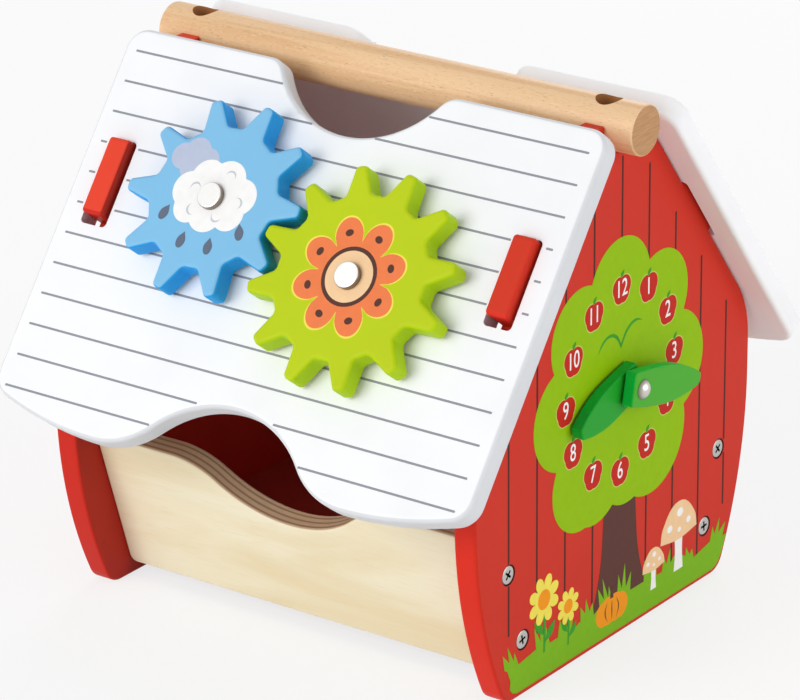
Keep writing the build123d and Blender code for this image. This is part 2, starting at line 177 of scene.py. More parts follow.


# Satin acrylic paint, sprayed on plywood: even and softly shining, with the grain just felt
# under it. The face takes one tone and the edges another: two-tone paint on the gears and
# hands, and partly painted light and shade on the gables and roof panels. The back may take a
# third tone, painted shade on the gables' insides and painted light under the back panel.
# Edges that look up may take a brighter tone, a painted highlight, and the counterbores for
# the screws are darkened round their rims as painted shade.
def paintedPly(name, colours, faceNormal, grain, roughness, edge="edgeTurn", bores=()):
    faceColour, sideColour, backColour, *upHighlight = colours
    look = {"Roughness": roughness, "IOR": 1.49, "Specular IOR Level": paint["gloss"]}
    material, tree, shader = newMaterial(name, look)
    place = addNode(tree, "TexCoord", {}, {})
    stretch = [1 / paint["fibreWidth"] / mm] * 3
    stretch["xyz".index(grain)] = 1 / paint["fibreLength"] / mm
    along = addNode(tree, "Mapping", {}, {"Vector": place.outputs["Object"], "Scale": stretch})
    fibres = addNode(tree, "TexNoise", {}, {"Vector": along.outputs[0], "Scale": 1, "Detail": 3})
    drift = addNode(
        tree, "TexNoise", {},
        {"Vector": place.outputs["Object"], "Scale": 1 / paint["cloudSize"] / mm, "Detail": 2},
    )
    facing = addNode(
        tree, "VectorMath", {"operation": "DOT_PRODUCT"},
        {0: place.outputs["Normal"], 1: tuple(faceNormal)},
    )
    coat = linear(sideColour)
    # Edges that look up take a brighter tone: a painted highlight
    for tone in upHighlight:
        looksUp = addNode(
            tree, "VectorMath", {"operation": "DOT_PRODUCT"},
            {0: place.outputs["Normal"], 1: (0, 0, 1)},
        )
        coat = blendTones(tree, looksUp.outputs["Value"], paint["upTurn"], coat, linear(tone))
    # The back's own tone is painted shade on the gables' insides and painted light under the back
    # panel
    for sign, tone in ((-1, backColour), (1, faceColour)):
        limits = [sign * limit for limit in paint[edge]]
        coat = blendTones(tree, facing.outputs["Value"], limits, coat, linear(tone))
    # Painted shade darkens the screws' counterbores and a thin rim round them
    for bore in bores:
        reach = reachFrom(tree, place.outputs["Object"], bore, (0, 1, 1))
        coat = blendTones(tree, reach, paint["boreEdge"], coat, linear(paint["boreShade"]), "LINEAR")
    levels = (1 - paint["drift"], 1 + paint["drift"])
    coat = unevenTone(tree, coat, drift.outputs["Fac"], levels)
    tree.links.new(coat, shader.inputs["Base Color"])
    bump = addNode(
        tree, "Bump", {},
        {
            "Height": fibres.outputs["Fac"],
            "Distance": paint["fibreDepth"] * mm, "Strength": paint["fibreStrength"],
        },
    )
    tree.links.new(bump.outputs[0], shader.inputs["Normal"])
    return material


inkLook = {
    "mottle": 4.0,            # mm, patches of thicker and thinner ink
    "drift": 0.06,
    "fibreDepth": 0.012,
    "roughness": 0.5,
    "gloss": 0.08,
}
inkColours = {
    "grey line ink": "#96989F",
    "brown line ink": "#4A2721",
    "trunk brown ink": "#5E3933",
    "leaf green ink": "#94C006",
    "mark green ink": "#3E9B2B",
    "pale green ink": "#C3D36A",
    "red spot ink": "#C42A1E",
    "white ink": "#F8F7F5",
    "grass green ink": "#7FB81E",
    "yellow ink": "#F4E45C",
    "orange ink": "#F59A1F",
    "dark brown ink": "#5A3B33",
    "cream ink": "#F6CFA0",
    "lilac grey ink": "#BAC4DA",
    "slate ink": "#657083",
    "curl grey ink": "#C9CDD3",
    "petal orange ink": "#F0824F",
}


# Pad-printed ink: flat and satin, a little uneven in tone, lying in the paint's own grain
def printInk(name, colour):
    look = {"Roughness": inkLook["roughness"], "IOR": 1.49, "Specular IOR Level": inkLook["gloss"]}
    material, tree, shader = newMaterial(name, look)
    place = addNode(tree, "TexCoord", {}, {})
    mottle = addNode(
        tree, "TexNoise", {},
        {"Vector": place.outputs["Object"], "Scale": 1 / inkLook["mottle"] / mm, "Detail": 3},
    )
    levels = (1 - inkLook["drift"], 1 + inkLook["drift"])
    tone = unevenTone(tree, linear(colour), mottle.outputs["Fac"], levels)
    tree.links.new(tone, shader.inputs["Base Color"])
    bump = addNode(
        tree, "Bump", {},
        {"Height": mottle.outputs["Fac"], "Distance": inkLook["fibreDepth"] * mm},
    )
    tree.links.new(bump.outputs[0], shader.inputs["Normal"])
    return material


birch = {
    "pale": "#F5ECCF",
    "warm": "#EDDDB6",
    "fleck": "#DFC79C",
    "plyLight": "#C6A888",
    "plyDark": "#9C7858",
    "ply": 1.7,               # mm, one layer of veneer
    "bandWidth": 30.0,        # mm, broad figure of rotary-cut veneer
    "bandLength": 150.0,
    "fibreWidth": 0.5,
    "fibreLength": 14.0,
    "fibreDepth": 0.03,
    "fibreStrength": 0.6,
    "flameTurn": (0.35, 0.72),  # where the broad figure turns from pale to warm
    "fleckTurn": (0.55, 0.85),  # where a fibre turns to a fleck, at most half way
    "fleckMost": 0.5,
    "plyTurn": (0.0, 0.95),   # where long grain turns to cross grain, which shows as a thin line
    "plyWobble": 1.4,         # radians, how far the layers stray
    "plySpeck": (0.78, 1.22),
    "roughness": 0.42,
    "gloss": 0.3,
    "edgeTurn": (0.50, 0.80),  # from the edge's layers to the face, by the cosine to the face
}


# Birch plywood under clear varnish: a pale rotary-cut face with broad, faint flames and fine
# fibres along X, and edges that show the layers, long grain light and cross grain dark.
def birchPly(name, out, middle):
    look = {
        "Roughness": birch["roughness"], "IOR": 1.5, "Specular IOR Level": birch["gloss"],
    }
    material, tree, shader = newMaterial(name, look)
    place = addNode(tree, "TexCoord", {}, {})
    spot = place.outputs["Object"]
    long, wide = 1 / birch["bandLength"] / mm, 1 / birch["bandWidth"] / mm
    bands = addNode(tree, "Mapping", {}, {"Vector": spot, "Scale": (long, wide, wide)})
    flame = addNode(
        tree, "TexNoise", {},
        {"Vector": bands.outputs[0], "Scale": 1, "Detail": 4, "Distortion": 0.9},
    )
    long, wide = 1 / birch["fibreLength"] / mm, 1 / birch["fibreWidth"] / mm
    threads = addNode(tree, "Mapping", {}, {"Vector": spot, "Scale": (long, wide, wide)})
    fibres = addNode(tree, "TexNoise", {}, {"Vector": threads.outputs[0], "Scale": 1, "Detail": 4})
    parts = ("pale", "warm", "fleck", "plyLight", "plyDark")
    tones = {part: linear(birch[part]) for part in parts}
    veneer = blendTones(
        tree, flame.outputs["Fac"], birch["flameTurn"], tones["pale"], tones["warm"]
    )
    faceTone = blendTones(
        tree, fibres.outputs["Fac"], birch["fleckTurn"], veneer, tones["fleck"],
        "LINEAR", birch["fleckMost"],
    )
    depth = addNode(tree, "VectorMath", {"operation": "DOT_PRODUCT"}, {0: spot, 1: out})
    layer = addNode(
        tree, "Math", {"operation": "MULTIPLY_ADD"},
        {
            0: depth.outputs["Value"],
            1: math.pi / birch["ply"] / mm,
            2: -middle * math.pi / birch["ply"] / mm,
        },
    )
    wobble = addNode(
        tree, "Math", {"operation": "MULTIPLY_ADD"},
        {0: flame.outputs["Fac"], 1: birch["plyWobble"], 2: layer.outputs[0]},
    )
    wave = addNode(tree, "Math", {"operation": "SINE"}, {0: wobble.outputs[0]})
    plies = blendTones(
        tree, wave.outputs[0], birch["plyTurn"], tones["plyLight"], tones["plyDark"]
    )
    edgeTone = unevenTone(tree, plies, fibres.outputs["Fac"], birch["plySpeck"])
    facing = addNode(
        tree, "VectorMath", {"operation": "DOT_PRODUCT"}, {0: place.outputs["Normal"], 1: out}
    )
    flat = addNode(tree, "Math", {"operation": "ABSOLUTE"}, {0: facing.outputs["Value"]})
    colour = blendTones(tree, flat.outputs[0], birch["edgeTurn"], edgeTone, faceTone)
    tree.links.new(colour, shader.inputs["Base Color"])
    bump = addNode(
        tree, "Bump", {},
        {
            "Height": fibres.outputs["Fac"],
            "Distance": birch["fibreDepth"] * mm, "Strength": birch["fibreStrength"],
        },
    )
    tree.links.new(bump.outputs[0], shader.inputs["Normal"])
    return material


beech = {
    "base": "#F4CC9E",
    "deep": "#E6B988",
    "fleck": "#F8D9B0",
    "poreTone": "#9C6A38",
    "endGrain": "#CC9864",
    "holeShade": "#AC7444",     # painted shade on the walls of the holes
    "holeEdge": (6.5 * mm, 6.4 * mm),  # from a hole's middle
    "ring": (180.0, 5.0),     # mm, length and width of the growth rings seen along the bar
    "pore": (3.2, 0.28),
    "ray": (3.0, 0.8),
    "ringTurn": (0.38, 0.70, 1.0),  # where the figure starts and ends to show, and how much
    "rayTurn": (0.56, 0.78, 0.7),
    "poreTurn": (0.60, 0.76, 0.75),
    "poreDepth": 0.03,
    "poreStrength": 0.6,
    "endSlant": math.radians(35),
    "endLine": (9.0, 0.9),    # mm, length and width of the lines on the end grain
    "endLevel": (0.56, 1.14),
    "endTurn": (0.75, 0.97),  # from the bar's side to its end, by the cosine to the end
    "roughness": 0.4,
    "gloss": 0.3,
}


# Steamed beech under clear varnish: pinkish tan, long soft rings, pale silky rays and short
# dark pores along the bar, and tighter, darker lines on the end grain.
def beechWood(name):
    look = {
        "Roughness": beech["roughness"], "IOR": 1.5, "Specular IOR Level": beech["gloss"],
    }
    material, tree, shader = newMaterial(name, look)
    place = addNode(tree, "TexCoord", {}, {})
    spot = place.outputs["Object"]
    wood = linear(beech["base"])
    for part, tone, blend in (
        ("ring", "deep", "SMOOTHSTEP"), ("ray", "fleck", "LINEAR"), ("pore", "poreTone", "LINEAR"),
    ):
        length, width = beech[part]
        scale = (1 / length / mm, 1 / width / mm, 1 / width / mm)
        run = addNode(tree, "Mapping", {}, {"Vector": spot, "Scale": scale})
        figure = addNode(
            tree, "TexNoise", {},
            {"Vector": run.outputs[0], "Scale": 1, "Detail": 3, "Distortion": 0.4},
        )
        *limits, most = beech[part + "Turn"]
        wood = blendTones(
            tree, figure.outputs["Fac"], limits, wood, linear(beech[tone]), blend, most
        )
    length, width = beech["endLine"]
    slanted = addNode(
        tree, "Mapping", {},
        {
            "Vector": spot,
            "Rotation": (beech["endSlant"], 0, 0), "Scale": (1, 1 / length / mm, 1 / width / mm),
        },
    )
    endLines = addNode(
        tree, "TexNoise", {}, {"Vector": slanted.outputs[0], "Scale": 1, "Detail": 2}
    )
    endTone = unevenTone(
        tree, linear(beech["endGrain"]), endLines.outputs["Fac"], beech["endLevel"]
    )
    facing = addNode(
        tree, "VectorMath", {"operation": "DOT_PRODUCT"},
        {0: place.outputs["Normal"], 1: (1, 0, 0)},
    )
    flat = addNode(tree, "Math", {"operation": "ABSOLUTE"}, {0: facing.outputs["Value"]})
    wood = blendTones(tree, flat.outputs[0], beech["endTurn"], wood, endTone)
    # Painted shade darkens the walls of the bar's holes
    reach = reachFrom(tree, spot, (house["barHole"], 0, 0), (1, 1, 0))
    wood = blendTones(tree, reach, beech["holeEdge"], wood, linear(beech["holeShade"]), "LINEAR")
    tree.links.new(wood, shader.inputs["Base Color"])
    bump = addNode(
        tree, "Bump", {},
        {
            "Height": figure.outputs["Fac"],        # the last figure is the pores
            "Distance": -beech["poreDepth"] * mm, "Strength": beech["poreStrength"],
        },
    )
    tree.links.new(bump.outputs[0], shader.inputs["Normal"])
    return material


plating = {
    "rimShadeTurn": (0.5, 0.92),   # from the painted shade at a head's rim to its top, by the cosine to the axis
    "spread": 0.3,            # of the roughness, up and down
    "hazeDepth": 0.01,
}


# Nickel-plated steel, barrel polished: bright and nearly mirror smooth, with faint haze. A
# bolt's head may be painted darker at its rim than on its top, as painted shade.
# Zinc-plated steel, as plated: greyer, with a soft satin grain.
def platedSteel(name, colour, roughness, hazeSize, axis=None, rimShadeColour=None):
    material, tree, shader = newMaterial(name, {"Metallic": 1.0, "Base Color": linear(colour)})
    place = addNode(tree, "TexCoord", {}, {})
    if axis:
        facing = addNode(
            tree, "VectorMath", {"operation": "DOT_PRODUCT"},
            {0: place.outputs["Normal"], 1: tuple(axis)},
        )
        tone = blendTones(
            tree, facing.outputs["Value"], plating["rimShadeTurn"], linear(rimShadeColour), linear(colour)
        )
        tree.links.new(tone, shader.inputs["Base Color"])
    haze = addNode(
        tree, "TexNoise", {},
        {"Vector": place.outputs["Object"], "Scale": 1 / hazeSize / mm, "Detail": 4},
    )
    low, high = (roughness * (1 + sign * plating["spread"]) for sign in (-1, 1))
    level = addNode(
        tree, "MapRange", {}, {"Value": haze.outputs["Fac"], "To Min": low, "To Max": high}
    )
    tree.links.new(level.outputs[0], shader.inputs["Roughness"])
    bump = addNode(
        tree, "Bump", {},
        {"Height": haze.outputs["Fac"], "Distance": plating["hazeDepth"] * mm},
    )
    tree.links.new(bump.outputs[0], shader.inputs["Normal"])
    return material


nylonLook = {
    "colour": "#EFEFEA",
    "skin": 0.6,              # mm, grain of the mould's wall
    "skinDepth": 0.01,
    "level": (0.94, 1.04),
}


# Injection-moulded nylon: milky and slightly see-into, with a dull moulded skin
def mouldedNylon(name):
    look = {"Roughness": 0.5, "IOR": 1.53, "Subsurface Weight": 0.25, "Subsurface Scale": mm}
    material, tree, shader = newMaterial(name, look)
    place = addNode(tree, "TexCoord", {}, {})
    skin = addNode(
        tree, "TexNoise", {},
        {"Vector": place.outputs["Object"], "Scale": 1 / nylonLook["skin"] / mm},
    )
    tone = unevenTone(
        tree, linear(nylonLook["colour"]), skin.outputs["Fac"], nylonLook["level"]
    )
    tree.links.new(tone, shader.inputs["Base Color"])
    bump = addNode(
        tree, "Bump", {},
        {"Height": skin.outputs["Fac"], "Distance": nylonLook["skinDepth"] * mm},
    )
    tree.links.new(bump.outputs[0], shader.inputs["Normal"])
    return material


# Colours of the face, the edges and the back, and of edges that look up where they differ
paintJobs = {  # name, colours, the face's normal, grain, roughness
    # Clock gable: the edges' brighter tone is partly painted light, the back's darker tone is
    # painted shade, and upward edges take a painted highlight
    "gable_right": (
        "red acrylic on the clock gable", ("#CE2D19", "#DC2D1C", "#B62A1B", "#D2371F"),
        (1, 0, 0), "z", 0.45, "edgeTurn", screwSpots,
    ),
    # Plain gable: its edges are painted darker than the clock gable's as painted shade, its back
    # darker as painted shade, and upward edges take a painted highlight
    "gable_left": (
        "red acrylic on the plain gable", ("#CE2D19", "#CB2718", "#B62A1B", "#E8452D"),
        (-1, 0, 0), "z", 0.45, "edgeTurn", screwSpots,
    ),
    "floor_panel": ("red acrylic on the floor", ("#A03026",) * 3, (0, 0, 1), "x", 0.5),
    # Front panel: its grey edge tone, carried into the roundings, is painted shade
    "front_roof_panel": (
        "white acrylic on the front panel", ("#F8F9FA", "#DEE0E3", "#F8F9FA"),
        roofNormal[-1], "x", 0.45, "broadEdge",
    ),
    # Back panel: its underside and edges are painted a little whiter than its face, as painted
    # light
    "back_roof_panel": (
        "white acrylic on the back panel", ("#F8F9FA", "#FCFCFD", "#FCFCFD"),
        roofNormal[1], "x", 0.45,
    ),
    "blue_gear": (
        "blue acrylic on plywood", ("#82C0E6", "#259EE4", "#82C0E6"), roofNormal[-1], "x", 0.45,
    ),
    "green_gear": (
        "yellow-green acrylic on plywood", ("#BCD016", "#B2D406", "#BCD016"),
        roofNormal[-1], "x", 0.45,
    ),
    "hour_hand": (
        "deeper green acrylic on beech", ("#1E9F28", "#10B03A", "#1E9F28"), (1, 0, 0), "y", 0.42,
    ),
    "minute_hand": (
        "leaf green acrylic on beech", ("#4AAC2B", "#12CC4A", "#4AAC2B"), (1, 0, 0), "y", 0.42,
    ),
}
finishes = {nodeName: paintedPly(*job) for nodeName, job in paintJobs.items()}

wallMiddle = wallOut.dot(wallStart)      # how far out a wall's middle layer lies
frontOut = (0, -wallOut.y, wallOut.z)
finishes["front_wall"] = birchPly("birch plywood of the front wall", frontOut, wallMiddle)
finishes["back_wall"] = birchPly("birch plywood of the back wall", tuple(wallOut), wallMiddle)
finishes["handle_bar"] = beechWood("steamed beech")

zinc = platedSteel("zinc-plated steel", "#BDBBB7", 0.36, 0.8)
nickel = platedSteel("nickel-plated steel", "#EDECEA", 0.2, 1.5)
# The gear bolts' heads are painted darker at their rims, as painted shade
boltNickel = platedSteel(
    "nickel-plated steel with painted rim shade", "#F1F0EE", 0.2, 1.5, roofNormal[-1], "#8A8076"
)
nylon = mouldedNylon("moulded nylon")
# The clock bolt's dome is painted darker towards its rim, as painted shade
finishes["clock_bolt"] = platedSteel(
    "brushed nickel-plated steel", "#CFCDC6", 0.3, 0.9, Vector((1, 0, 0)), "#857D73"
)
for nodeName in ("handle_screws", "wall_screws_right", "wall_screws_left"):
    finishes[nodeName] = zinc
for nodeName in ("blue_gear_nut", "green_gear_nut", "clock_nut"):
    finishes[nodeName] = nickel
for nodeName in ("blue_gear_bolt", "green_gear_bolt"):
    finishes[nodeName] = boltNickel
for nodeName in ("blue_gear_spacer", "green_gear_spacer", "clock_washers"):
    finishes[nodeName] = nylon
for nodeName, finish in finishes.items():
    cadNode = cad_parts[nodeName]
    cadNode.data.materials.clear()
    cadNode.data.materials.append(finish)
print("materials on", len(finishes), "nodes")


# Cross-headed screws, modelled over the plain ones: a flat head, softly rounded at its rim,
# with a pressed cross painted near black as painted shade
crossScrew = {
    "head": 9.1, "headHeight": 2.2, "rim": 0.5,
    "shank": 4.0, "length": 32.0,
    "tip": 0.1,                   # of the shank's width
    "buried": 0.3,                # shank into the head
    "crossReach": 5.0, "crossWidth": 1.15, "crossDepth": 1.2,
    "seat": 2.4,                  # below the gable's face
    "twist": (25, 40),            # degrees, so that the crosses stand as the driver left them
    "slack": 0.05 * mm,           # for picking corners and faces
}


def steelRound(diameter, height, low):
    deselect()
    bpy.ops.mesh.primitive_cylinder_add(
        vertices=40, radius=diameter / 2 * mm, depth=height * mm,
        location=(0, 0, (low + height / 2) * mm),
    )
    return bpy.context.object


def makeScrew():
    head = steelRound(crossScrew["head"], crossScrew["headHeight"], 0)
    applyPlace()
    top, slack = crossScrew["headHeight"] * mm, crossScrew["slack"]
    bpy.ops.object.mode_set(mode="EDIT")
    bpy.ops.mesh.select_all(action="DESELECT")
    bpy.ops.object.mode_set(mode="OBJECT")
    for edge in head.data.edges:
        edge.select = all(head.data.vertices[k].co.z > top - slack for k in edge.vertices)
    bpy.ops.object.mode_set(mode="EDIT")
    bpy.ops.mesh.bevel(offset=crossScrew["rim"] * mm, segments=4, affect="EDGES")
    bpy.ops.object.mode_set(mode="OBJECT")
    reach, width, depth = (crossScrew[k] * mm for k in ("crossReach", "crossWidth", "crossDepth"))
    for size in ((reach, width), (width, reach)):
        deselect()
        bpy.ops.mesh.primitive_cube_add(size=1, location=(0, 0, top))
        arm = bpy.context.object
        arm.scale = (*size, depth * 2)
        applyPlace()
        arm.select_set(False)
        bpy.context.view_layer.objects.active = head
        cut = head.modifiers.new("cross", "BOOLEAN")
        cut.object = arm
        cut.operation = "DIFFERENCE"
        bpy.ops.object.modifier_apply(modifier=cut.name)
        bpy.data.objects.remove(arm, do_unlink=True)
    shank = steelRound(crossScrew["shank"], crossScrew["length"], -crossScrew["length"])
    applyPlace()
    for corner in shank.data.vertices:
        if corner.co.z < -crossScrew["length"] * mm + slack:
            corner.co.x, corner.co.y = (k * crossScrew["tip"] for k in corner.co.xy)
        else:
            corner.co.z = crossScrew["buried"] * mm
    deselect()
    head.select_set(True)
    bpy.context.view_layer.objects.active = head
    bpy.ops.object.shade_smooth_by_angle(angle=math.radians(35))
    head.data.materials.append(zinc)
    head.data.materials.append(crossShade)
    for face in head.data.polygons:      # faces of the pressed cross take the painted shade
        middle = face.center
        inArms = min(abs(middle.x), abs(middle.y)) < width / 2 + slack
        inReach = middle.xy.length < reach / 2 + slack
        face.material_index = 1 if inArms and inReach and middle.z < top - slack else 0
    shank.data.materials.append(zinc)
    shank.select_set(True)
    bpy.ops.object.join()
    return head


def placeScrews(name, node, turns):
    copies = []
    for turn in turns:
        copy = masterScrew.copy()
        copy.data = masterScrew.data.copy()
        bpy.context.collection.objects.link(copy)
        copy.matrix_world = turn
        copies.append(copy)
    deselect()
    for copy in copies:
        copy.select_set(True)
    bpy.context.view_layer.objects.active = copies[0]
    bpy.ops.object.join()
    applyPlace()
    piece = bpy.context.object
    piece.name = piece.data.name = name
    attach(piece, "house")
    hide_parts(node)


# Steel painted near black: painted shade in the pressed cross, which hardly shines
crossShade = platedSteel("steel painted dark as the cross's shade", "#161514", 0.6, 0.8)
masterScrew = makeScrew()
for end, word in ((1, "right"), (-1, "left")):
    turns = []
    for spot in screwSpots:
        for side in (-1, 1):
            seat = end * (house["gableFace"] - crossScrew["seat"] * mm)
            first, further = crossScrew["twist"]
            twist = Matrix.Rotation(math.radians(first + further * side + spot.z / mm), 4, "Z")
            place = surface((seat, side * spot.y, spot.z), (0, end, 0), (0, 0, 1))
            turns.append(place @ twist)
    placeScrews(f"cross_screws_{word}", f"wall_screws_{word}", turns)
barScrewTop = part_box("handle_screws")[1][2] - crossScrew["headHeight"] * mm
placeScrews(
    "cross_screws_bar", "handle_screws",
    [Matrix.Translation((end * house["barHole"], 0, barScrewTop)) for end in (-1, 1)],
)
bpy.data.objects.remove(masterScrew, do_unlink=True)
print("screws done")


# Prints: thin closed layers of ink, counted from the wood up, each prouder than the last

inkLayer = {
    "sunk": 0.03 * mm,        # into the wood
    "step": 0.03 * mm,        # from one layer to the next
    "merge": 0.002 * mm,
    "curveSteps": 6,
    "lineRound": 0.4,         # of a line's width, at its ends
}


def turned(points, across, up, angle=0.0, size=1.0):
    c, s = math.cos(math.radians(angle)) * size, math.sin(math.radians(angle)) * size
    return [(across + x * c - y * s, up + x * s + y * c, *rest) for x, y, *rest in points]


# Outline of overlapping circles (across, up, radius), seen from a point inside them all
def bubbles(circles, count=180):
    outline = []
    for k in range(count):
        ray = Vector((math.cos(2 * math.pi * k / count), math.sin(2 * math.pi * k / count)))
        reach = 0.0
        for across, up, radius in circles:
            middle = Vector((across, up))
            along = middle.dot(ray)
            left = radius**2 - (middle.length_squared - along**2)
            if left > 0:
                reach = max(reach, along + left**0.5)
        outline.append((ray.x * reach, ray.y * reach))
    return outline


# Outline with rounded petals, radius swinging between two values
def petals(count, inner, outer, fullness=0.6, steps=16):
    total = count * steps
    outline = []
    for k in range(total):
        angle = 2 * math.pi * k / total
        radius = inner + (outer - inner) * abs(math.sin(count * angle / 2)) ** fullness
        outline.append((radius * math.cos(angle), radius * math.sin(angle)))
    return outline


def oval(width, height, count=40):
    turns = [2 * math.pi * k / count for k in range(count)]
    return [(width / 2 * math.cos(t), height / 2 * math.sin(t)) for t in turns]


# One flat outline in millimetres. A point is (across, up), or (across, up, "smooth").
def inkShape(outline, layer):
    deselect()
    bpy.ops.curve.primitive_bezier_circle_add(radius=mm)
    shape = bpy.context.object
    line = shape.data.splines[0]
    line.bezier_points.add(len(outline) - len(line.bezier_points))
    for point, (across, up, *kind) in zip(line.bezier_points, outline):
        point.co = (across * mm, up * mm, 0)
        point.handle_left_type = point.handle_right_type = "AUTO" if kind else "VECTOR"
    anySmooth = any(len(point) > 2 for point in outline)
    line.resolution_u = inkLayer["curveSteps"] if anySmooth else 1
    shape.data.dimensions = "2D"
    shape.data.fill_mode = "BOTH"
    top = inkLayer["step"] * (layer + 1)
    shape.data.extrude = (top + inkLayer["sunk"]) / 2
    bpy.ops.object.convert(target="MESH")
    return closeShape(shape, (top - inkLayer["sunk"]) / 2)


def closeShape(shape, lift):
    shape.location.z = lift
    applyPlace()
    bpy.ops.object.mode_set(mode="EDIT")
    bpy.ops.mesh.select_all(action="SELECT")
    bpy.ops.mesh.remove_doubles(threshold=inkLayer["merge"])
    bpy.ops.mesh.dissolve_degenerate(threshold=inkLayer["merge"])
    bpy.ops.mesh.normals_make_consistent(inside=False)
    bpy.ops.object.mode_set(mode="OBJECT")
    return shape


# A straight printed line with softly rounded ends
def inkLine(start, end, width, layer):
    start, end = Vector(start), Vector(end)
    deselect()
    bpy.ops.mesh.primitive_plane_add(size=mm)
    line = bpy.context.object
    line.scale = ((end - start).length, width, 1)
    line.location = ((start + end) / 2 * mm).to_3d()
    line.rotation_euler.z = math.atan2(end.y - start.y, end.x - start.x)
    applyPlace()
    bpy.ops.object.mode_set(mode="EDIT")
    bpy.ops.mesh.select_all(action="SELECT")
    bpy.ops.mesh.bevel(
        offset=inkLayer["lineRound"] * width * mm, segments=3, affect="VERTICES"
    )
    bpy.ops.object.mode_set(mode="OBJECT")
    ink = line.modifiers.new("ink", "SOLIDIFY")
    ink.thickness = inkLayer["step"] * (layer + 1) + inkLayer["sunk"]
    ink.offset = 1
    bpy.ops.object.modifier_apply(modifier=ink.name)
    return closeShape(line, -inkLayer["sunk"])


inks = {name: printInk(name, colour) for name, colour in inkColours.items()}


# Shapes of one colour become one print, which is laid on its surface and rides on its body
def layPrint(name, shapes, place, body, ink):
    deselect()
    for shape in shapes:
        shape.select_set(True)
    piece = shapes[0]
    bpy.context.view_layer.objects.active = piece
    if len(shapes) > 1:
        bpy.ops.object.join()
    piece.name = piece.data.name = name
    piece.matrix_world = places[place]
    applyPlace()
    piece.data.materials.clear()
    piece.data.materials.append(inks[ink])
    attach(piece, body)


roofLines = {
    "count": 12,
    "first": 44.94,           # down the slope from the ridge line
    "pitch": 15.70,
    "width": 1.1,
    "reach": 130.2,           # half of a full line
    "upperNotch": (42.0, 18.0),   # where the first two start, beside the hand notch
    "eaveWave": (22.0, 43.0),     # where the last two start, beside the wave
    "slot": (107.4, 126.4, 130.2),  # end before a slot, and the short dash beyond it
    "slotRows": (3, 4, 5),
}
for place, body, name in (
    ("frontRoof", "front_roof", "front_roof_lines"),
    ("backRoof", "back_roof", "back_roof_lines"),
):
    spans = []
    for row in range(roofLines["count"]):
        reach, run = roofLines["reach"], roofLines["first"] + row * roofLines["pitch"]
        fromEave = row - roofLines["count"]
        if row < len(roofLines["upperNotch"]):
            halves = [(roofLines["upperNotch"][row], reach)]
        elif fromEave >= -len(roofLines["eaveWave"]):
            halves = [(roofLines["eaveWave"][fromEave], reach)]
        elif row in roofLines["slotRows"]:
            before, after, dashEnd = roofLines["slot"]
            halves = [(after, dashEnd)]
            spans.append((-before, before, run))
        else:
            halves = []
            spans.append((-reach, reach, run))
        for near, far in halves:
            spans += [(near, far, run), (-far, -near, run)]
    strokes = [
        inkLine((left, -run), (right, -run), roofLines["width"], 0) for left, right, run in spans
    ]
    layPrint(name, strokes, place, body, "grey line ink")
print("roof lines done")

gableLines = {
    "across": (0.0, 22.85, 45.8, 68.8, 91.6),
    "top": (241.0, 231.0, 200.0, 171.0, 141.0),
    "foot": (9.0, 9.0, 9.0, 9.0, 34.0),
    "screwGap": 5.4,              # the outer lines stop round the upper screws' counterbores
    "width": 1.35,
}
upperScrew = screwSpots[-1] / mm
for place, name in (("clockGable", "clock_gable_lines"), ("plainGable", "plain_gable_lines")):
    strokes = []
    shift = places[place].translation.y / mm
    for across, top, foot in zip(gableLines["across"], gableLines["top"], gableLines["foot"]):
        for side in ((-1, 1) if across else (1,)):
            reaches = [(foot, top)]
            past = abs(abs(side * across + shift) - upperScrew.y)
            beside = max(0, past - gableLines["width"] / 2)
            if beside < gableLines["screwGap"]:
                half = (gableLines["screwGap"] ** 2 - beside**2) ** 0.5
                reaches = [(foot, upperScrew.z - half), (upperScrew.z + half, top)]
            for low, high in reaches:
                start, end = (side * across, low), (side * across, high)
                strokes.append(inkLine(start, end, gableLines["width"], 0))
    layPrint(name, strokes, place, "house", "brown line ink")

# Clock face: a leafy crown on a trunk, with twelve numbered spots
crown = {
    "up": 130.0,
    "lobes": (  # across and up from the middle, and radius
        (0, 0, 54), (-1, 46, 25.3), (33, 31, 23.7), (45, -6, 26), (26, -37, 29.5), (6, -40, 24),
        (-21, -41, 24.5), (-32, -40, 24.3), (-46, -3, 25.7), (-33, 32, 24.7),
    ),
    "foliageLine": [  # two leafy scallops, there along the top and back underneath
        (-19.6, 18.6), (-16.2, 23.7, "smooth"), (-10.4, 26.0, "smooth"), (-3.9, 24.1, "smooth"),
        (-0.2, 18.9), (5.0, 25.0, "smooth"), (12.0, 27.2, "smooth"), (18.2, 24.8),
        (11.9, 25.8, "smooth"), (5.9, 23.5, "smooth"), (-0.2, 16.2), (-4.7, 22.5, "smooth"),
        (-10.5, 24.5, "smooth"), (-15.3, 22.6, "smooth"),
    ],
    "trunk": [
        (-13, 78), (13, 78), (14, 60, "smooth"), (16.5, 38, "smooth"), (24, 15),
        (-24, 15), (-16.5, 38, "smooth"), (-14, 60, "smooth"),
    ],
}
layPrint("trunk_print", [inkShape(crown["trunk"], 1)], "clockGable", "house", "trunk brown ink")
crownShape = inkShape(turned(bubbles(crown["lobes"], count=360), 0, crown["up"]), 2)
layPrint("crown_print", [crownShape], "clockGable", "house", "leaf green ink")
foliage = inkShape(turned(crown["foliageLine"], 0, crown["up"]), 3)
layPrint("foliage_line_print", [foliage], "clockGable", "house", "mark green ink")

